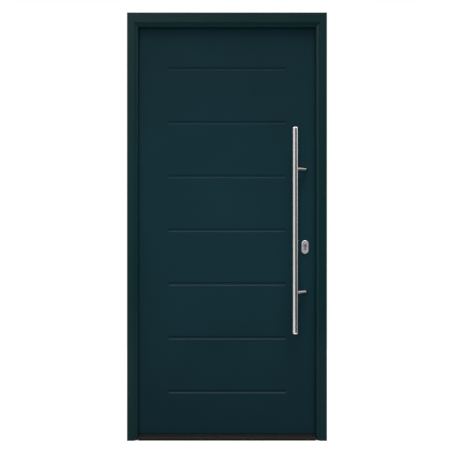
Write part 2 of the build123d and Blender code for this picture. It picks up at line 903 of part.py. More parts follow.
def lever_handle():
    """A round lever: a neck out of the plate, mitred into a grip that points to the hinges."""
    start = depth_y(leaf_back_v) + plate_chamfer
    plate_y = depth_y(leaf_back_v) + plate_thickness
    out = plate_y + lever_stand
    reach = lever_stand + plate_thickness
    neck_side = Polygon(
        (lock_axis_x - reach, out - reach),
        (lock_axis_x + reach, out - reach),
        (lock_axis_x + reach, out + reach),
        align=None,
    )
    neck_zone = extrude(Pos(0, 0, lever_z) * neck_side, amount=reach, both=True)
    neck = rod_along_y(lock_axis_x, start, out + lever_radius, lever_z, lever_radius)
    grip = rod_along_x(lock_axis_x - lever_reach, lock_axis_x + lever_radius, out, lever_z,
                       lever_radius)
    end_edges = grip.faces().sort_by(Axis.X)[0].edges()
    grip = chamfer(end_edges, lever_end_chamfer)
    collar = rod_along_y(lock_axis_x, start, plate_y + collar_length, lever_z,
                         lever_radius + collar_extra)
    return (neck & neck_zone) + (grip - neck_zone) + collar - spindle()


def lock_follower():
    """The hub that the spindle turns, with the arm that draws the latch back."""
    hub = rod_along_y(lock_axis_x, depth_y(case_front_v), depth_y(case_back_v), lever_z,
                      follower_radius)
    arm = box(
        lock_axis_x - follower_arm_width / 2,
        lock_axis_x + follower_arm_width / 2,
        depth_y(bolt_v - follower_arm_thickness / 2),
        depth_y(bolt_v + follower_arm_thickness / 2),
        lever_z,
        lever_z + follower_arm,
    )
    return hub + arm - square_bar(spindle_side, depth_y(case_front_v), depth_y(case_back_v))


def lock_case_block():
    return lock_box(case_front_u, case_front_u + case_depth, case_front_v, case_back_v,
                    case_bottom_z, case_top_z)


def lock_case():
    """The main case: a steel shell, open at the forend, with holes for the cylinder and the follower."""
    hollow = lock_box(case_front_u, case_front_u + case_depth - case_wall, case_front_v + case_wall,
                      case_back_v - case_wall, case_bottom_z + case_wall, case_top_z - case_wall)
    shell = lock_case_block() - hollow
    shell -= rod_along_y(lock_axis_x, depth_y(case_front_v), depth_y(case_back_v), lever_z,
                         follower_radius + running_gap)
    shell -= along_cylinder(euro_section(seat_gap), case_front_v, case_back_v)
    return shell - rod_channel()


def forend_block():
    half = forend_width / 2
    return lock_box(leaf_front_u, case_front_u, lock_mid_v - half, lock_mid_v + half, forend_bottom,
                    forend_top)


def forend():
    """The long face strip, with its windows for the latch, the deadbolt and the hooks."""
    strip = fillet(forend_block().edges().filter_by(Axis.X), forend_width / 2 - forend_end_relief)
    windows = [
        (latch_z - latch_height / 2 - seat_gap, latch_z + latch_height / 2 + seat_gap),
        (deadbolt_z - deadbolt_height / 2 - seat_gap, deadbolt_z + deadbolt_height / 2 + seat_gap),
    ]
    windows += [hook_window(z) for z in hook_heights]
    for low, high in windows:
        strip -= lock_box(leaf_front_u, case_front_u, bolt_front_v - seat_gap, bolt_back_v + seat_gap,
                          low, high)
    return strip


def keep_specs():
    """Name, lower end, upper end and windows of each keep."""
    latch_half = latch_height / 2 + keep_clear
    dead_half = deadbolt_height / 2 + keep_clear
    latch = (latch_z - latch_half, latch_z + latch_half)
    dead = (deadbolt_z - dead_half, deadbolt_z + dead_half)
    specs = [("keep_main", dead[0] - keep_end, latch[1] + keep_end, [latch, dead])]
    for name, z in zip(("keep_lower", "keep_upper"), hook_heights):
        window = hook_window(z, keep_window_clear)
        specs.append((name, window[0] - keep_end, window[1] + keep_end, [window]))
    return specs


def keep_seat(z_from, z_to):
    return lock_box(rebate_u - keep_thickness, rebate_u, outer_back_v, shoulder_v, z_from, z_to)


def keep_plate(z_from, z_to, windows):
    """A flat keep let into the rebate, with its windows."""
    plate = keep_seat(z_from, z_to)
    for low, high in windows:
        plate -= lock_box(rebate_u - keep_thickness, rebate_u, bolt_front_v - keep_clear,
                          bolt_back_v + keep_back_clear, low, high)
    return plate


def keep_pockets():
    """The room behind the keeps for the bolts and for the hooks' teeth."""
    back_u = rebate_u - keep_thickness
    pockets = []
    for _, _, _, windows in keep_specs():
        for low, high in windows:
            pocket = lock_box(back_u - pocket_depth, back_u, bolt_front_v - keep_clear,
                              bolt_back_v + keep_back_clear, low - hook_tooth, high)
            pockets.append(pocket)
    return pockets


def bar_tube():
    low = bar_centre_z - bar_length / 2 + bar_cap
    high = bar_centre_z + bar_length / 2 - bar_cap
    tube = rod_along_z(bar_x, bar_y, low, high, bar_radius)
    return tube - rod_along_z(bar_x, bar_y, low, high, bar_radius - bar_wall)


def bar_caps():
    """A cap with a turned rim at each end of the tube."""
    caps = []
    for end in (-1, 1):
        middle = bar_centre_z + end * (bar_length - bar_cap) / 2
        cap = Pos(bar_x, bar_y, middle) * Cylinder(bar_radius, bar_cap)
        rim = cap.edges().filter_by(GeomType.CIRCLE).sort_by(Axis.Z)[-1 if end > 0 else 0]
        caps.append(chamfer(rim, bar_cap_chamfer))
    return caps


def bar_posts():
    """Two bent round posts from the leaf to the bar, each fitted to the bar's round."""
    posts = []
    face_y = depth_y(leaf_front_v)
    for end in (-1, 1):
        z = bar_centre_z + end * (bar_length / 2 - post_inset)
        route = FilletPolyline(
            (lock_axis_x, face_y, z),
            (lock_axis_x, face_y - post_straight, z),
            (bar_x, bar_y, z),
            radius=post_bend,
        )
        section = Plane(origin=(lock_axis_x, face_y, z), z_dir=(0, -1, 0)) * Circle(post_radius)
        post = sweep(section, path=route)
        posts.append(post - rod_along_z(bar_x, bar_y, z - bar_radius, z + bar_radius, bar_radius))
    return posts


def spindle_passage():
    return rod_along_y(lock_axis_x, depth_y(lock_mid_v), depth_y(leaf_back_v), lever_z,
                       lever_radius + 2 * collar_extra)


def build():
    nodes = {}

    hinge_jamb, lock_jamb, head = members(outer_section(0), outer_section(head_extra))
    nodes["hinge_jamb_outer"] = hinge_jamb
    nodes["lock_jamb_outer"] = lock_jamb
    nodes["head_outer"] = head

    pockets = keep_pockets()
    seats = [keep_seat(low, high) for _, low, high, _ in keep_specs()]
    hinge_jamb, lock_jamb, head = members(inner_section(0), inner_section(head_extra))
    nodes["hinge_jamb_inner"] = hinge_jamb
    nodes["lock_jamb_inner"] = lock_jamb - pockets - seats
    nodes["head_inner"] = head
    nodes["insulating_bars"] = insulating_bars(pockets)
    nodes["corner_cleats"] = corner_cleats()

    outer, middle, inner = threshold_parts()
    nodes["threshold_outer"] = outer
    nodes["threshold_insulator"] = middle
    nodes["threshold_inner"] = inner

    lip = seal_section((sight_u + rebate_u) / 2, lip_v, lip_seal_foot, lip_seal_depth, seal_gap)
    nodes["lip_seal"] = list(members(lip, lip, threshold_height))
    rebate = seal_section(rebate_seal_u, shoulder_v, rebate_seal_foot, rebate_seal_depth, seal_gap)
    nodes["rebate_seal"] = list(members(rebate, rebate, threshold_height))

    for name, low, high, windows in keep_specs():
        nodes[name] = keep_plate(low, high, windows)
    nodes["hinge_frame_parts"] = [hinge_frame_part(z) for z in hinge_heights]
    nodes["hinge_leaf_parts"] = [hinge_leaf_part(z) for z in hinge_heights]

    case_zones = [lock_case_block()] + [hook_case_block(z) for z in hook_heights]
    seals = bottom_seals()
    passage = along_cylinder(euro_section(seat_gap), 0, frame_depth)
    nodes["leaf_outer_skin"] = leaf_outer_skin() - forend_block() - passage - seals
    nodes["leaf_inner_skin"] = leaf_inner_skin() - passage - spindle_passage() - seals
    hinge_stile, lock_stile, top_rail, bottom_rail, core = leaf_members()
    nodes["hinge_stile"] = hinge_stile - seals
    nodes["lock_stile"] = lock_stile - forend_block() - rod_channel() - case_zones - seals
    nodes["top_rail"] = top_rail
    nodes["bottom_rail"] = bottom_rail - seals
    nodes["leaf_core"] = core - case_zones - passage - spindle_passage()
    nodes["bottom_seal"] = seals

    nodes["lock_forend"] = forend()
    nodes["lock_case"] = lock_case()
    nodes["hook_case_lower"] = hook_case(hook_heights[0])
    nodes["hook_case_upper"] = hook_case(hook_heights[1])
    nodes["hook_lower"] = hook_at_rest(hook_heights[0])
    nodes["hook_upper"] = hook_at_rest(hook_heights[1])
    nodes["drive_rod"] = drive_rod()
    nodes["latch_bolt"] = latch_bolt()
    nodes["deadbolt"] = deadbolt()
    nodes["lock_follower"] = lock_follower()

    nodes["cylinder_body"] = cylinder_body()
    plug_outer, plug_inner = cylinder_plugs()
    nodes["cylinder_plug_outer"] = plug_outer
    nodes["cylinder_plug_inner"] = plug_inner
    nodes["cylinder_cam"] = cylinder_cam()
    nodes["outer_rose"] = outer_rose()
    nodes["inner_plate"] = inner_plate()
    nodes["spindle"] = spindle()
    nodes["lever_handle"] = lever_handle()

    nodes["pull_bar"] = bar_tube()
    nodes["pull_bar_caps"] = bar_caps()
    nodes["pull_bar_posts"] = bar_posts()
    return nodes


for node, shape in build().items():
    solids = shape if isinstance(shape, list) else [shape]
    pieces = [solid for item in solids for solid in item.solids()]
    part = Compound(label=node, children=pieces) if len(pieces) > 1 else pieces[0]
    export_step(part, f"parts/{node}.step")
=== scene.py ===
"""A panelled front door in its frame: finishes, small fittings, light and camera."""

import json
from math import atan2, cos, pi, radians, sin

import bmesh
import bpy
from mathutils import Matrix, Vector


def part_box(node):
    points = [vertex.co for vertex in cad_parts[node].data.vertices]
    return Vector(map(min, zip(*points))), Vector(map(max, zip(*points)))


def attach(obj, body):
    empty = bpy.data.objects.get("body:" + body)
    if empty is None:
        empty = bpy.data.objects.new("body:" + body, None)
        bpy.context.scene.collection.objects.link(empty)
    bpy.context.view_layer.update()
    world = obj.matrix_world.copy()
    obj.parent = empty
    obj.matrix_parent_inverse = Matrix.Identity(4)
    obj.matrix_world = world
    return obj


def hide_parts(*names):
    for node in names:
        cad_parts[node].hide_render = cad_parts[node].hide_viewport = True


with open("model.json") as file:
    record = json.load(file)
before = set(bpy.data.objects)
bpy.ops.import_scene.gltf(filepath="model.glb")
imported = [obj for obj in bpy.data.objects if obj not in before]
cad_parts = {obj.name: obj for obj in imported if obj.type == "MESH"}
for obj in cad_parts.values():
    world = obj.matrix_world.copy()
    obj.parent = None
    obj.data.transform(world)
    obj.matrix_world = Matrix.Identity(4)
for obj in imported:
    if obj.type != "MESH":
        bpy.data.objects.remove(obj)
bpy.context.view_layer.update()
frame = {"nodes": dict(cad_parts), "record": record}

NODES = frame["nodes"]
NODE_SLOTS = {part["node"]: part["material_slot"] for part in frame["record"]["subparts"]}
MM = 0.001
WHITE = (1.0, 1.0, 1.0, 1.0)

SCREEN_WHITE = 255
SCREEN_TOE = 0.04045
SCREEN_TOE_SLOPE = 12.92
SCREEN_OFFSET = 0.055
SCREEN_POWER = 2.4


def linear(red, green, blue):
    """A colour as read from a screen, 0 to 255, turned into the shader's linear values."""
    values = []
    for level in (red, green, blue):
        share = level / SCREEN_WHITE
        if share <= SCREEN_TOE:
            values.append(share / SCREEN_TOE_SLOPE)
        else:
            values.append(((share + SCREEN_OFFSET) / (1 + SCREEN_OFFSET)) ** SCREEN_POWER)
    return (*values, 1.0)


def grey(level):
    """A grey in linear values, which may be brighter than white."""
    return (level, level, level, 1.0)


def toned(colour, share):
    """A colour made darker or paler by a share of its own level."""
    return (*(level * share for level in colour[:3]), 1.0)


# Shader nodes

def add_node(tree, kind, values=None, **settings):
    """A shader node, with its settings and the values of its inputs."""
    node = tree.nodes.new(kind)
    for name, value in settings.items():
        setattr(node, name, value)
    for name, value in (values or {}).items():
        socket = node.inputs[name]
        if isinstance(value, bpy.types.NodeSocket):
            tree.links.new(value, socket)
        else:
            socket.default_value = value
    return node


def maths(tree, operation, first, second=0.0, clamp=False):
    """The result of one sum on two values."""
    node = add_node(
        tree, "ShaderNodeMath", {0: first, 1: second}, operation=operation, use_clamp=clamp
    )
    return node.outputs[0]


def object_place(tree):
    """Where a point is on its piece."""
    return add_node(tree, "ShaderNodeTexCoord").outputs["Object"]


def noise(tree, vector, scale, detail=2.0, roughness=0.5):
    """Soft random patches, with a middle level of a half."""
    values = {"Vector": vector, "Scale": scale, "Detail": detail, "Roughness": roughness}
    return add_node(tree, "ShaderNodeTexNoise", values).outputs["Fac"]


def spread(tree, value, low, high, to_low=0.0, to_high=1.0):
    """A value between two levels, spread over two others and held at their ends."""
    values = {
        "Value": value, "From Min": low, "From Max": high, "To Min": to_low, "To Max": to_high,
    }
    return add_node(tree, "ShaderNodeMapRange", values).outputs["Result"]


def stretched_place(tree, place, stretch):
    """A place scaled along each axis, which draws a pattern out along the smallest scale."""
    node = add_node(tree, "ShaderNodeMapping", {"Vector": place, "Scale": stretch})
    return node.outputs["Vector"]


def split_axes(tree, vector):
    """The X, Y and Z of a vector."""
    return add_node(tree, "ShaderNodeSeparateXYZ", {"Vector": vector}).outputs


def same_on_axes(tree, value):
    """A value as a grey."""
    return add_node(tree, "ShaderNodeCombineXYZ", {0: value, 1: value, 2: value}).outputs[0]


# The colour sockets of the Mix node come after those of its other kinds of data.
MIX_SHARE = 0
MIX_FIRST = 6
MIX_SECOND = 7
MIX_RESULT = 2


def mix_colours(tree, share, first, second):
    """The first colour, with a share of the second laid over it."""
    values = {MIX_SHARE: share, MIX_FIRST: first, MIX_SECOND: second}
    return add_node(tree, "ShaderNodeMix", values, data_type="RGBA").outputs[MIX_RESULT]


def give(tree, leave, **outputs):
    """Links the results of a group to its named outputs."""
    for name, result in outputs.items():
        tree.links.new(result, leave.inputs[name])


# Shader groups: coat, edges, brushed lines and dust

NUMBER = "NodeSocketFloat"
VECTOR = "NodeSocketVector"
NOISE_MIDDLE = 0.5


def new_group(name, inputs, outputs):
    """A shader group with named number or vector sockets."""
    tree = bpy.data.node_groups.new(name, "ShaderNodeTree")
    for label, kind, value in inputs:
        socket = tree.interface.new_socket(label, in_out="INPUT", socket_type=kind)
        socket.default_value = value
    for label, kind in outputs:
        tree.interface.new_socket(label, in_out="OUTPUT", socket_type=kind)
    entry = tree.nodes.new("NodeGroupInput")
    leave = tree.nodes.new("NodeGroupOutput")
    return tree, entry, leave


def unevenness(tree, pattern, amount):
    """A noise turned into a change up and down from nothing."""
    return maths(tree, "MULTIPLY", maths(tree, "SUBTRACT", pattern, NOISE_MIDDLE), amount)


SPECK_ROUGHNESS = 0.12


def coat_texture_group():
    """The fine orange peel and the cloudy sheen of a baked coat."""
    tree, entry, leave = new_group(
        "coat texture",
        [("Grain", NUMBER, 900.0), ("Cloud", NUMBER, 3.0), ("Roughness", NUMBER, 0.4),
         ("Unevenness", NUMBER, 0.1)],
        [("Height", NUMBER), ("Shade", NUMBER), ("Roughness", NUMBER)],
    )
    place = object_place(tree)
    fine = noise(tree, place, entry.outputs["Grain"], detail=3.0, roughness=0.6)
    cloud = noise(tree, place, entry.outputs["Cloud"], detail=4.0, roughness=0.55)
    shift = unevenness(tree, cloud, entry.outputs["Unevenness"])
    speck = unevenness(tree, fine, SPECK_ROUGHNESS)
    total = maths(tree, "ADD", maths(tree, "ADD", entry.outputs["Roughness"], shift), speck)
    give(tree, leave, Height=fine, Shade=cloud, Roughness=total)
    return tree


EDGE_SAMPLES = 6
FLAT_COSINE = 0.98
EDGE_COSINE = 0.75


def rounded_edge_group():
    """The soft radius that every real edge has, and a mask along it."""
    tree, entry, leave = new_group(
        "rounded edge", [("Radius", NUMBER, 0.0006)], [("Normal", VECTOR), ("Edge", NUMBER)]
    )
    rounded = add_node(
        tree, "ShaderNodeBevel", {"Radius": entry.outputs["Radius"]}, samples=EDGE_SAMPLES
    ).outputs["Normal"]
    plain = add_node(tree, "ShaderNodeNewGeometry").outputs["Normal"]
    cosine = add_node(
        tree, "ShaderNodeVectorMath", {0: rounded, 1: plain}, operation="DOT_PRODUCT"
    ).outputs["Value"]
    give(tree, leave, Normal=rounded, Edge=spread(tree, cosine, FLAT_COSINE, EDGE_COSINE))
    return tree


PATCH_SCALE = 35.0


def brushed_group():
    """Fine scratches along one direction, as a belt or a brush leaves them."""
    tree, entry, leave = new_group(
        "brushed",
        [("Stretch", VECTOR, (900.0, 900.0, 12.0)), ("Roughness", NUMBER, 0.25),
         ("Depth", NUMBER, 0.12)],
        [("Height", NUMBER), ("Roughness", NUMBER), ("Shade", NUMBER)],
    )
    stretched = stretched_place(tree, object_place(tree), entry.outputs["Stretch"])
    lines = noise(tree, stretched, 1.0, detail=3.0, roughness=0.65)
    patches = noise(tree, object_place(tree), PATCH_SCALE)
    change = unevenness(tree, lines, entry.outputs["Depth"])
    roughness = maths(tree, "ADD", entry.outputs["Roughness"], change)
    give(tree, leave, Height=lines, Roughness=roughness, Shade=patches)
    return tree


DUST_TILT = (0.5, 0.95)
DUST_SCALE = 60.0
DUST_PATCHES = (0.35, 0.7)


def dust_group():
    """Pale dust that settles on faces that look up."""
    tree, entry, leave = new_group("dust", [("Amount", NUMBER, 0.15)], [("Mask", NUMBER)])
    normal = split_axes(tree, add_node(tree, "ShaderNodeNewGeometry").outputs["Normal"])
    upward = spread(tree, normal["Z"], *DUST_TILT)
    cloudy = noise(tree, object_place(tree), DUST_SCALE, detail=4.0, roughness=0.6)
    settled = maths(tree, "MULTIPLY", upward, spread(tree, cloudy, *DUST_PATCHES))
    mask = maths(tree, "MULTIPLY", settled, entry.outputs["Amount"], clamp=True)
    give(tree, leave, Mask=mask)
    return tree


COAT_TEXTURE = coat_texture_group()
ROUNDED_EDGE = rounded_edge_group()
BRUSHED = brushed_group()
DUST = dust_group()


# Materials

FINISHES = {}
DUST_COLOUR = linear(150, 146, 138)
MIDDLE_RANGE = (0.3, 0.7)


def place_group(tree, group, **values):
    """A shader group placed in a material with its own values."""
    node = add_node(tree, "ShaderNodeGroup", node_tree=group)
    for name, value in values.items():
        node.inputs[name].default_value = value
    return node


def new_finish(name):
    """A material with a bare shader, kept in FINISHES under its name."""
    material = bpy.data.materials.new(name)
    FINISHES[name] = material
    material.use_nodes = True
    tree = material.node_tree
    tree.nodes.clear()
    shader = tree.nodes.new("ShaderNodeBsdfPrincipled")
    output = tree.nodes.new("ShaderNodeOutputMaterial")
    tree.links.new(shader.outputs["BSDF"], output.inputs["Surface"])
    return tree, shader


def bump(tree, shader, height, strength, distance, normal=None):
    """Fine relief, over a rounded normal where there is one."""
    values = {"Height": height, "Strength": strength, "Distance": distance}
    if normal is not None:
        values["Normal"] = normal
    node = add_node(tree, "ShaderNodeBump", values)
    tree.links.new(node.outputs["Normal"], shader.inputs["Normal"])


def dusted(tree, shade, amount):
    """A colour with dust on the faces that look up."""
    settled = place_group(tree, DUST, Amount=amount)
    return mix_colours(tree, settled.outputs["Mask"], shade, DUST_COLOUR)


COAT_DARK = 0.93
COAT_PALE = 1.07
COAT_EDGE_RADIUS = 0.7 * MM
# Share of the paler colour laid along edges as a painted edge highlight.
COAT_EDGE_HIGHLIGHT = 0.35
COAT_RELIEF = 0.4 * MM


def painted(name, colour, highlight_colour, roughness, grain, depth, specular, cloudiness, dust):
    """A baked coat on metal: slightly cloudy, grained, with a painted highlight along its edges and
    a little dust.
    """
    tree, shader = new_finish(name)
    coat = place_group(tree, COAT_TEXTURE, Grain=grain, Roughness=roughness, Unevenness=cloudiness)
    edge = place_group(tree, ROUNDED_EDGE, Radius=COAT_EDGE_RADIUS)
    shade = mix_colours(tree, spread(tree, coat.outputs["Shade"], *MIDDLE_RANGE),
                        toned(colour, COAT_DARK), toned(colour, COAT_PALE))
    # The paler colour along the edges is a painted highlight.
    edge_highlight = maths(tree, "MULTIPLY", edge.outputs["Edge"], COAT_EDGE_HIGHLIGHT)
    shade = dusted(tree, mix_colours(tree, edge_highlight, shade, highlight_colour), dust)
    tree.links.new(shade, shader.inputs["Base Color"])
    tree.links.new(coat.outputs["Roughness"], shader.inputs["Roughness"])
    shader.inputs["Specular IOR Level"].default_value = specular
    bump(tree, shader, coat.outputs["Height"], depth, COAT_RELIEF, edge.outputs["Normal"])


METAL_LINES = (0.7, 1.35)
METAL_EDGE_RADIUS = 0.6 * MM
METAL_RELIEF = 0.2 * MM


def metal(name, colour, dark_colour, roughness, stretch, depth, relief, metallic=1.0):
    """A bare or plated metal with the fine lines of its finish."""
    tree, shader = new_finish(name)
    lines = place_group(tree, BRUSHED, Stretch=stretch, Roughness=roughness, Depth=depth)
    rounding = place_group(tree, ROUNDED_EDGE, Radius=METAL_EDGE_RADIUS)
    drawn = maths(tree, "ADD", lines.outputs["Shade"], lines.outputs["Height"])
    shade = mix_colours(tree, spread(tree, drawn, *METAL_LINES), colour, dark_colour)
    tree.links.new(shade, shader.inputs["Base Color"])
    tree.links.new(lines.outputs["Roughness"], shader.inputs["Roughness"])
    shader.inputs["Metallic"].default_value = metallic
    bump(tree, shader, lines.outputs["Height"], relief, METAL_RELIEF, rounding.outputs["Normal"])


RUBBER_GRAIN = 1800.0
RUBBER_UNEVENNESS = 0.08
RUBBER_PALE = 1.5
RUBBER_DUST = 0.2
RUBBER_SPECULAR = 0.3
RUBBER_BUMP = 0.15
RUBBER_RELIEF = 0.3 * MM


def rubber(name, colour, roughness):
    """Dull rubber or plastic, with a fine grain and some dust."""
    tree, shader = new_finish(name)
    coat = place_group(tree, COAT_TEXTURE, Grain=RUBBER_GRAIN, Roughness=roughness,
                       Unevenness=RUBBER_UNEVENNESS)
    shade = mix_colours(tree, spread(tree, coat.outputs["Height"], *MIDDLE_RANGE),
                        colour, toned(colour, RUBBER_PALE))
    tree.links.new(dusted(tree, shade, RUBBER_DUST), shader.inputs["Base Color"])
    tree.links.new(coat.outputs["Roughness"], shader.inputs["Roughness"])
    shader.inputs["Specular IOR Level"].default_value = RUBBER_SPECULAR
    bump(tree, shader, coat.outputs["Height"], RUBBER_BUMP, RUBBER_RELIEF)


WOOD_STRETCH = (60.0, 60.0, 2.5)
WOOD_GRAIN = (0.35, 0.65)
PORE_SCALE = 9.0
PORE_RANGE = (0.6, 0.75)
PORE_SHARE = 0.35
WOOD_ROUGHNESS = (0.55, 0.7)
WOOD_BUMP = 0.2
WOOD_RELIEF = 0.6 * MM


def wood(name, colour, dark_colour, pore_colour):
    """Laminated softwood of the stiles and rails, grain along the upright."""
    tree, shader = new_finish(name)
    stretched = stretched_place(tree, object_place(tree), WOOD_STRETCH)
    grain = noise(tree, stretched, 1.0, detail=5.0, roughness=0.6)
    pores = noise(tree, stretched, PORE_SCALE)
    shade = mix_colours(tree, spread(tree, grain, *WOOD_GRAIN), colour, dark_colour)
    shade = mix_colours(tree, spread(tree, pores, *PORE_RANGE, 0.0, PORE_SHARE), shade, pore_colour)
    tree.links.new(shade, shader.inputs["Base Color"])
    tree.links.new(spread(tree, grain, *MIDDLE_RANGE, *WOOD_ROUGHNESS), shader.inputs["Roughness"])
    bump(tree, shader, grain, WOOD_BUMP, WOOD_RELIEF)


CELL_SCALE = 900.0
CELL_RANGE = (0.0, 0.7)
FOAM_ROUGHNESS = 0.9
FOAM_BUMP = 0.4
FOAM_RELIEF = 0.8 * MM


def foam(name, colour, pale_colour):
    """Rigid insulating foam, with its small closed cells."""
    tree, shader = new_finish(name)
    values = {"Vector": object_place(tree), "Scale": CELL_SCALE}
    cells = add_node(tree, "ShaderNodeTexVoronoi", values).outputs["Distance"]
    shade = mix_colours(tree, spread(tree, cells, *CELL_RANGE), colour, pale_colour)
    tree.links.new(shade, shader.inputs["Base Color"])
    shader.inputs["Roughness"].default_value = FOAM_ROUGHNESS
    bump(tree, shader, cells, FOAM_BUMP, FOAM_RELIEF)


BRUSHED_UP = (900.0, 900.0, 10.0)
BRUSHED_ACROSS = (10.0, 900.0, 900.0)
CAST_GRAIN = (300.0, 300.0, 300.0)
ZINC_GRAIN = (220.0, 220.0, 220.0)
SCREW_GRAIN = (400.0, 400.0, 400.0)


def make_finishes():
    """A finish for each slot of the door's parts, and screw_steel for the screw heads."""
    # The second colour of each coat is the paler colour of its painted edge highlight.
    painted("frame_paint", linear(6, 38, 40), linear(58, 92, 94), roughness=0.38, grain=700.0,
            depth=0.10, specular=0.15, cloudiness=0.12, dust=0.12)
    painted("leaf_paint", linear(17, 43, 50), linear(52, 78, 86), roughness=0.44, grain=900.0,
            depth=0.06, specular=0.06, cloudiness=0.10, dust=0.08)
    rubber("insulating_plastic", linear(24, 24, 25), roughness=0.6)
    painted("threshold_metal", linear(21, 20, 18), linear(50, 47, 42), roughness=0.48,
            grain=800.0, depth=0.10, specular=0.15, cloudiness=0.12, dust=0.03)
    metal("cast_aluminium", linear(196, 198, 200), linear(160, 162, 165), roughness=0.5,
          stretch=CAST_GRAIN, depth=0.2, relief=0.15)
    rubber("seal_rubber", linear(18, 19, 20), roughness=0.65)
    wood("timber", linear(206, 170, 120), linear(164, 120, 74), linear(110, 74, 42))
    foam("foam", linear(214, 196, 140), linear(232, 218, 168))
    metal("hinge_steel", linear(188, 190, 192), linear(160, 162, 165), roughness=0.34,
          stretch=BRUSHED_UP, depth=0.12, relief=0.05)
    metal("zinc_steel", linear(184, 188, 186), linear(150, 158, 160), roughness=0.4,
          stretch=ZINC_GRAIN, depth=0.2, relief=0.08)
    metal("screw_steel", linear(176, 178, 178), linear(140, 142, 142), roughness=0.35,
          stretch=SCREW_GRAIN, depth=0.15, relief=0.05)
    metal("bolt_steel", linear(190, 190, 186), linear(162, 162, 158), roughness=0.3,
          stretch=BRUSHED_ACROSS, depth=0.12, relief=0.05)
    metal("cylinder_nickel", linear(158, 154, 160), linear(140, 136, 142), roughness=0.34,
          stretch=BRUSHED_ACROSS, depth=0.1, relief=0.05, metallic=0.6)
    metal("rose_steel", linear(208, 208, 208), linear(190, 190, 190), roughness=0.34,
          stretch=BRUSHED_UP, depth=0.12, relief=0.05, metallic=0.55)
    metal("stainless_satin", linear(232, 232, 229), linear(218, 218, 215), roughness=0.17,
          stretch=BRUSHED_ACROSS, depth=0.08, relief=0.03)
    metal("post_steel", linear(150, 152, 152), linear(120, 122, 122), roughness=0.3,
          stretch=BRUSHED_ACROSS, depth=0.12, relief=0.04)


def dress_frame():
    """Gives every carried-over part the finish of its slot."""
    for name, part in NODES.items():
        part.data.materials.clear()
        part.data.materials.append(FINISHES[NODE_SLOTS[name]])


# Making pieces

CREASE_ANGLE = radians(32)
MERGE_DISTANCE = 1e-6


def add_piece(name, shape, finish, body):
    """A finished mesh as a piece of its own, carried by a body of the door."""
    mesh = bpy.data.meshes.new(name)
    shape.to_mesh(mesh)
    shape.free()
    piece = bpy.data.objects.new(name, mesh)
    bpy.context.scene.collection.objects.link(piece)
    mesh.materials.append(FINISHES[finish])
    mesh.shade_smooth()
    mesh.set_sharp_from_angle(angle=CREASE_ANGLE)
    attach(piece, body)
    return piece


def turned(profile, segments):
    """A profile of (radius, height) points that starts and ends on the axis, spun about Z."""
    shape = bmesh.new()
    verts = [shape.verts.new((radius, 0.0, height)) for radius, height in profile]
    edges = [shape.edges.new(pair) for pair in zip(verts, verts[1:])]
    bmesh.ops.spin(
        shape, geom=verts + edges, cent=(0, 0, 0), axis=(0, 0, 1), dvec=(0, 0, 0),
        angle=2 * pi, steps=segments, use_merge=True, use_duplicate=False,
    )
    bmesh.ops.remove_doubles(shape, verts=shape.verts, dist=MERGE_DISTANCE)
    bmesh.ops.recalc_face_normals(shape, faces=shape.faces)
    return shape


def facing(direction):
    """A turn that takes up Z to a direction."""
    return Vector(direction).to_track_quat("Z", "Y").to_matrix().to_4x4()


def repeated(source, places):
    """Copies of a shape, each moved by its matrix, in one mesh."""
    mesh = bpy.data.meshes.new("copy")
    source.to_mesh(mesh)
    source.free()
    shape = bmesh.new()
    for place in places:
        start = len(shape.verts)
        shape.from_mesh(mesh)
        shape.verts.ensure_lookup_table()
        bmesh.ops.transform(shape, matrix=place, verts=shape.verts[start:])
    bpy.data.meshes.remove(mesh)
    return shape


# Screws

SCREW_RADIUS = 4.2 * MM
SCREW_HEIGHT = 1.5 * MM
SCREW_SUNK = 0.3 * MM
SCREW_SOCKET = 2.0 * MM
SCREW_SEGMENTS = 36
SCREW_LOBES = 6
SCREW_TWIST = radians(17)
LOBE_DEPTH = 0.14
LOBES_FROM = 0.5 * SCREW_SOCKET
LOBES_TO = SCREW_SOCKET + 0.05 * MM

# From the sunk foot round the rim, over the crown and down into the socket.
SCREW_PROFILE = (
    (0.0, -SCREW_SUNK),
    (SCREW_RADIUS, -SCREW_SUNK),
    (SCREW_RADIUS, 0.12 * MM),
    (0.93 * SCREW_RADIUS, 0.45 * MM),
    (0.74 * SCREW_RADIUS, 1.02 * MM),
    (SCREW_SOCKET + 0.25 * MM, SCREW_HEIGHT),
    (SCREW_SOCKET, SCREW_HEIGHT - 0.12 * MM),
    (0.94 * SCREW_SOCKET, 0.25 * MM),
    (0.0, 0.1 * MM),
)


def screw_shape():
    """A raised countersunk head, looking up Z, with a six-lobed socket."""
    shape = turned(SCREW_PROFILE, SCREW_SEGMENTS)
    for vert in shape.verts:
        if LOBES_FROM < vert.co.xy.length < LOBES_TO:
            turn = atan2(vert.co.y, vert.co.x)
            vert.co.xy *= 1 + LOBE_DEPTH * cos(SCREW_LOBES * turn)
    return shape


def screws(name, direction, points, body):
    """Screw heads that look one way, each turned a little differently, as a hand leaves them."""
    places = []
    for index, point in enumerate(points):
        twist = Matrix.Rotation(SCREW_TWIST * index, 4, "Z")
        places.append(Matrix.Translation(point) @ facing(direction) @ twist)
    add_piece(name, repeated(screw_shape(), places), "screw_steel", body)


# Hinge caps and hinge screws

KNUCKLE_RADIUS = 9 * MM
HINGE_HALF_LENGTH = 50 * MM
HINGE_PLATE_THICKNESS = 3 * MM
PIN_CAP_RADIUS = 8.2 * MM
PIN_CAP_THICKNESS = 3.0 * MM
PIN_CAP_CHAMFER = 1.2 * MM

# How far in from the plate's edge, and how far over or under the hinge's middle.
FRAME_PLATE_SCREW = (7 * MM, 35 * MM)
LEAF_PLATE_SCREW = (10 * MM, 28 * MM)


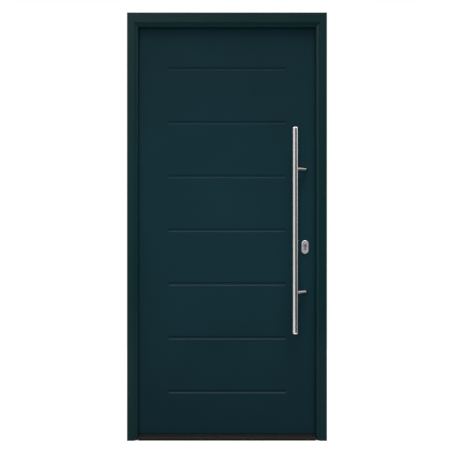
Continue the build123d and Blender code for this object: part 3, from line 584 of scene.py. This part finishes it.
def pin_cap_shape():
    """A flat cap with a chamfered rim, looking up Z."""
    return turned((
        (0.0, 0.0),
        (PIN_CAP_RADIUS, 0.0),
        (PIN_CAP_RADIUS, PIN_CAP_THICKNESS - PIN_CAP_CHAMFER),
        (PIN_CAP_RADIUS - PIN_CAP_CHAMFER, PIN_CAP_THICKNESS),
        (0.0, PIN_CAP_THICKNESS),
    ), SCREW_SEGMENTS)


def add_hinge_fittings():
    """The caps at the ends of the hinge pins, and the screws of the plates."""
    low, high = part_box("hinge_frame_parts")
    leaf_low, leaf_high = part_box("hinge_leaf_parts")
    axis = Vector((high.x - KNUCKLE_RADIUS, high.y - KNUCKLE_RADIUS, 0.0))
    frame_in, frame_up = FRAME_PLATE_SCREW
    leaf_in, leaf_up = LEAF_PLATE_SCREW
    frame_face = low.y + HINGE_PLATE_THICKNESS
    leaf_face = leaf_low.y + HINGE_PLATE_THICKNESS
    caps = []
    frame_points = []
    leaf_points = []
    for level in (low.z + HINGE_HALF_LENGTH, (low.z + high.z) / 2, high.z - HINGE_HALF_LENGTH):
        for side in (-1, 1):
            end = axis + Vector((0.0, 0.0, level + side * HINGE_HALF_LENGTH))
            caps.append(Matrix.Translation(end) @ facing((0, 0, side)))
            frame_points.append((low.x + frame_in, frame_face, level + side * frame_up))
            leaf_points.append((leaf_high.x - leaf_in, leaf_face, level + side * leaf_up))
    add_piece("hinge_pin_caps", repeated(pin_cap_shape(), caps), "hinge_steel",
              "frame")
    screws("hinge_frame_screws", (0, 1, 0), frame_points, "frame")
    screws("hinge_leaf_screws", (0, 1, 0), leaf_points, "leaf")


# Lock screws

PLATE_SCREW_DROPS = (14 * MM, 92 * MM)
FOREND_SCREW_HEIGHTS = (244 * MM, 616 * MM, 937 * MM, 1399.5 * MM, 1786 * MM)
KEEP_SCREW_INSET = 9 * MM


def add_lock_screws():
    """The screws of the inner plate, of the lock's forend and of the keeps."""
    plate_low, plate_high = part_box("inner_plate")
    middle = (plate_low.x + plate_high.x) / 2
    points = [(middle, plate_high.y, plate_high.z - drop) for drop in PLATE_SCREW_DROPS]
    screws("inner_plate_screws", (0, 1, 0), points, "leaf")
    forend_low, forend_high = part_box("lock_forend")
    depth = (forend_low.y + forend_high.y) / 2
    points = [(forend_high.x, depth, height) for height in FOREND_SCREW_HEIGHTS]
    screws("forend_screws", (1, 0, 0), points, "leaf")
    points = []
    for keep in ("keep_main", "keep_lower", "keep_upper"):
        low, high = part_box(keep)
        for height in (low.z + KEEP_SCREW_INSET, high.z - KEEP_SCREW_INSET):
            points.append((low.x, (low.y + high.y) / 2, height))
    screws("keep_screws", (-1, 0, 0), points, "frame")


# Bar caps

BAR_SEGMENTS = 64
BAR_CAP_LENGTH = 6 * MM
BAR_CAP_JOINT = 1.2 * MM

# How far inside the bar's radius and how far over its end, from the joint up to the crown.
BAR_CAP_PROFILE = (
    (1.3 * MM, 0.0),
    (1.3 * MM, BAR_CAP_JOINT),
    (0.3 * MM, BAR_CAP_JOINT),
    (0.0, BAR_CAP_JOINT + 0.3 * MM),
    (0.0, BAR_CAP_LENGTH - 1.8 * MM),
    (0.5 * MM, BAR_CAP_LENGTH - 0.8 * MM),
    (1.3 * MM, BAR_CAP_LENGTH - 0.2 * MM),
    (2.2 * MM, BAR_CAP_LENGTH),
)


def bar_cap_shape(radius):
    """A pressed-in end cap, from its narrow joint line up to its crowned end."""
    outline = [(radius - inside, height) for inside, height in BAR_CAP_PROFILE]
    return turned([(0.0, 0.0), *outline, (0.0, BAR_CAP_LENGTH)], BAR_SEGMENTS)


def add_bar_caps():
    """A cap at each end of the pull bar."""
    low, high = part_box("pull_bar")
    radius = (high.y - low.y) / 2
    places = []
    for side, height in ((-1, low.z), (1, high.z)):
        end = Vector(((low.x + high.x) / 2, (low.y + high.y) / 2, height))
        places.append(Matrix.Translation(end) @ facing((0, 0, side)))
    caps = add_piece("bar_end_caps", repeated(bar_cap_shape(radius), places), "stainless_satin",
                     "leaf")
    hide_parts("pull_bar_caps")


# Head end caps

HEAD_CHAMBERS = ((-38 * MM, -14 * MM), (10.5 * MM, 38 * MM))
HEAD_WALL = 2 * MM
HEAD_CAP_HEIGHT = 11.9 * MM
HEAD_CAP_THICKNESS = 1.4 * MM
HEAD_CAP_CLEARANCE = 0.1 * MM
HEAD_CAP_BORDER = 1.5 * MM
HEAD_CAP_STEP = 0.3 * MM
HEAD_CAP_ROUNDING = 0.2 * MM
FACES_SIDEWAYS = 0.9
SHARP_CORNER = radians(80)


def add_head_end_caps():
    """Caps that close the head's chambers where it runs over the jambs to the outside."""
    low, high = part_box("head_outer")
    level = high.z - HEAD_WALL - HEAD_CAP_CLEARANCE - HEAD_CAP_HEIGHT / 2
    shape = bmesh.new()
    for side, reach in ((-1, low.x), (1, high.x)):
        across = reach - side * (HEAD_CAP_THICKNESS / 2 + HEAD_CAP_CLEARANCE)
        for front, back in HEAD_CHAMBERS:
            width = back - front - 2 * HEAD_CAP_CLEARANCE
            made = bmesh.ops.create_cube(shape, size=1.0)["verts"]
            bmesh.ops.scale(shape, verts=made, vec=(HEAD_CAP_THICKNESS, width, HEAD_CAP_HEIGHT))
            bmesh.ops.translate(shape, verts=made, vec=(across, (front + back) / 2, level))
    shape.normal_update()
    outer = [face for face in shape.faces
             if face.normal.x * face.calc_center_median().x > 0
             and abs(face.normal.x) > FACES_SIDEWAYS]
    bmesh.ops.inset_individual(shape, faces=outer, thickness=HEAD_CAP_BORDER, depth=0.0)
    bmesh.ops.inset_individual(shape, faces=outer, thickness=HEAD_CAP_STEP, depth=-HEAD_CAP_STEP)
    rims = [edge for edge in shape.edges if edge.calc_face_angle(0.0) > SHARP_CORNER]
    bmesh.ops.bevel(shape, geom=rims, offset=HEAD_CAP_ROUNDING, offset_type="OFFSET", segments=2,
                    profile=0.5, affect="EDGES", material=-1)
    add_piece("head_end_caps", shape, "frame_paint", "frame")


# Floor, surroundings, lamps and camera

def seen_in_gloss(tree, path):
    """1 for what gloss, metal or glass shows, and otherwise 0."""
    return maths(tree, "MAXIMUM", path.outputs["Is Glossy Ray"],
                 path.outputs["Is Transmission Ray"])


FLOOR_RADIUS = 2.1
FLOOR_SEGMENTS = 64
FLOOR_GREY = 0.16
FLOOR_SEEN = 0.88
FLOOR_GLOSS_DISTANCES = (0.6, 1.5)
FLOOR_GLOSS_LEVELS = (0.5, 1.1)


def floor_material():
    """Pale to the camera and in reflections, with painted shade in reflections near the door, and
    open to its shadow.
    """
    material = bpy.data.materials.new("floor_white")
    material.use_nodes = True
    tree = material.node_tree
    tree.nodes.clear()
    lit = add_node(tree, "ShaderNodeBsdfDiffuse", {"Color": grey(FLOOR_GREY)})
    path = add_node(tree, "ShaderNodeLightPath")
    seen = maths(tree, "MULTIPLY", path.outputs["Is Camera Ray"], FLOOR_SEEN)
    away = add_node(tree, "ShaderNodeVectorMath", {0: object_place(tree)}, operation="LENGTH")
    # The glow in reflections fades close to the door: painted shade standing for the door's shadow
    # there.
    level = spread(tree, away.outputs["Value"], *FLOOR_GLOSS_DISTANCES, *FLOOR_GLOSS_LEVELS)
    mirrored = maths(tree, "MULTIPLY", seen_in_gloss(tree, path), level)
    strength = maths(tree, "ADD", seen, mirrored)
    glow = add_node(tree, "ShaderNodeEmission", {"Color": WHITE, "Strength": strength})
    both = add_node(
        tree, "ShaderNodeAddShader", {0: lit.outputs["BSDF"], 1: glow.outputs["Emission"]}
    )
    output = tree.nodes.new("ShaderNodeOutputMaterial")
    tree.links.new(both.outputs["Shader"], output.inputs["Surface"])
    return material


def add_floor():
    """A pale floor that keeps the door's soft shadow."""
    mesh = bpy.data.meshes.new("floor")
    shape = bmesh.new()
    bmesh.ops.create_circle(shape, cap_ends=True, segments=FLOOR_SEGMENTS, radius=FLOOR_RADIUS)
    shape.to_mesh(mesh)
    shape.free()
    floor = bpy.data.objects.new("floor", mesh)
    bpy.context.scene.collection.objects.link(floor)
    mesh.materials.append(floor_material())


# Places and levels across the street side, from the left at 0 to the right at 1.
STREET_LEFT = 0.7
STREET_STEPS = ((0.31, 0.95), (0.40, 0.52), (0.47, 0.14), (0.60, 0.08), (0.94, 0.06))
STREET_RIGHT = 0.06

# Ranges of a direction's X, Y or Z over which one part of the surroundings fades into the next.
BEHIND_FADE = (-0.1, 0.25)
ROOM_FADE = (0.3, 0.55)
ROOM_HEIGHTS = (-0.5, 0.7)
ROOM_LEVELS = (0.16, 0.75)
WINDOW_FADE = (0.93, 0.97)
WINDOW_HEIGHTS = (-0.2, 0.2)
WINDOW_LEVELS = (0.35, 1.3)
UPWARD_FADE = (0.24, 0.36)
SIDEWAYS_FADE = (0.05, 0.35)
SKY_LEVEL = 1.0
HIGH_LEFT_FADE = (-0.02, -0.2)
HIGH_LEFT_LEVEL = 2.6
HIGH_RIGHT_FADE = (0.55, 0.8)
HIGH_RIGHT_LEVEL = 3.0
SOFT_LIGHT = 0.4


def street_gradient(tree, across):
    """A bright left and a dark right, as the door's street side mirrors them."""
    ramp = add_node(tree, "ShaderNodeValToRGB", {"Fac": spread(tree, across, -1.0, 1.0)})
    stops = ramp.color_ramp.elements
    stops[0].position = 0.0
    stops[0].color = grey(STREET_LEFT)
    stops[1].position = 1.0
    stops[1].color = grey(STREET_RIGHT)
    for position, level in STREET_STEPS:
        stops.new(position).color = grey(level)
    return ramp.outputs["Color"]


def mirrored_surroundings(tree):
    """What gloss and metal show, by direction: street, window, sky and room."""
    direction = split_axes(tree, add_node(tree, "ShaderNodeTexCoord").outputs["Generated"])
    across, depth, height = (direction[axis] for axis in "XYZ")
    shown = street_gradient(tree, across)
    shown = mix_colours(tree, spread(tree, depth, *BEHIND_FADE), shown, WHITE)
    window = same_on_axes(tree, spread(tree, height, *WINDOW_HEIGHTS, *WINDOW_LEVELS))
    shown = mix_colours(tree, spread(tree, across, *WINDOW_FADE), shown, window)
    upward = spread(tree, height, *UPWARD_FADE)
    sideways = spread(tree, maths(tree, "ABSOLUTE", across), *SIDEWAYS_FADE)
    high_left = spread(tree, across, *HIGH_LEFT_FADE)
    high_right = spread(tree, across, *HIGH_RIGHT_FADE)
    for aside, level in (
        (sideways, SKY_LEVEL), (high_left, HIGH_LEFT_LEVEL), (high_right, HIGH_RIGHT_LEVEL),
    ):
        share = maths(tree, "MULTIPLY", upward, aside)
        shown = mix_colours(tree, share, shown, grey(level))
    room = same_on_axes(tree, spread(tree, height, *ROOM_HEIGHTS, *ROOM_LEVELS))
    return mix_colours(tree, spread(tree, depth, *ROOM_FADE), shown, room)


def set_world():
    """White to the camera, the surroundings in gloss, and plain soft light elsewhere."""
    world = bpy.data.worlds.new("studio")
    bpy.context.scene.world = world
    world.use_nodes = True
    tree = world.node_tree
    tree.nodes.clear()
    path = add_node(tree, "ShaderNodeLightPath")
    light = mix_colours(tree, seen_in_gloss(tree, path), grey(SOFT_LIGHT),
                        mirrored_surroundings(tree))
    shown = mix_colours(tree, path.outputs["Is Camera Ray"], light, WHITE)
    background = add_node(tree, "ShaderNodeBackground", {"Color": shown, "Strength": 1.0})
    output = tree.nodes.new("ShaderNodeOutputWorld")
    tree.links.new(background.outputs["Background"], output.inputs["Surface"])


def add_lamp(name, kind, power):
    """A lamp that the camera doesn't see, with its data."""
    data = bpy.data.lights.new(name, kind)
    data.energy = power
    lamp = bpy.data.objects.new(name, data)
    bpy.context.scene.collection.objects.link(lamp)
    lamp.visible_camera = False
    return lamp, data


def area_light(name, place, target, width, height, power):
    """A soft panel of light that looks at a point."""
    lamp, data = add_lamp(name, "AREA", power)
    data.shape = "RECTANGLE"
    data.size = width
    data.size_y = height
    lamp.location = place
    lamp.rotation_euler = (Vector(target) - Vector(place)).to_track_quat("-Z", "Y").to_euler()
    return lamp


def sun_light(name, elevation, turn, power, width):
    """A far, wide light: elevation above the floor, turn from straight in front towards +X."""
    lamp, data = add_lamp(name, "SUN", power)
    data.angle = radians(width)
    level = cos(radians(elevation))
    across = level * sin(radians(turn))
    front = -level * cos(radians(turn))
    towards = Vector((across, front, sin(radians(elevation))))
    lamp.rotation_euler = towards.to_track_quat("Z", "Y").to_euler()


def add_lights():
    """A high light over the street side, a weak fill before it and a panel over the room side."""
    sun_light("high_front", elevation=68.0, turn=10.0, power=2.3, width=30.0)
    fill = area_light("front_fill", place=(0.03, -1.3, 1.14), target=(0.03, 0.0, 1.12),
                      width=0.6, height=0.6, power=8.8)
    fill.visible_glossy = False
    area_light("room_side", place=(-0.5, 2.6, 3.4), target=(0.0, 0.0, 1.1),
               width=3.2, height=2.6, power=40.0)


FRAME_FACE_Y = -0.04
CAMERA_DISTANCE = 2.6
CAMERA_HEIGHT = 1.0485
VIEW_WIDTH = 2.2255
SENSOR = 36.0


def add_camera():
    """Straight in front of the door, with VIEW_WIDTH of its street face across the picture."""
    data = bpy.data.cameras.new("camera")
    data.sensor_width = SENSOR
    data.lens = SENSOR * CAMERA_DISTANCE / VIEW_WIDTH
    camera = bpy.data.objects.new("camera", data)
    bpy.context.scene.collection.objects.link(camera)
    camera.location = (0.0, FRAME_FACE_Y - CAMERA_DISTANCE, CAMERA_HEIGHT)
    camera.rotation_euler = (radians(90), 0.0, 0.0)
    bpy.context.scene.camera = camera


bpy.context.scene.view_settings.view_transform = "Standard"
make_finishes()
dress_frame()
add_hinge_fittings()
add_lock_screws()
add_bar_caps()
add_head_end_caps()
add_floor()
set_world()
add_lights()
add_camera()
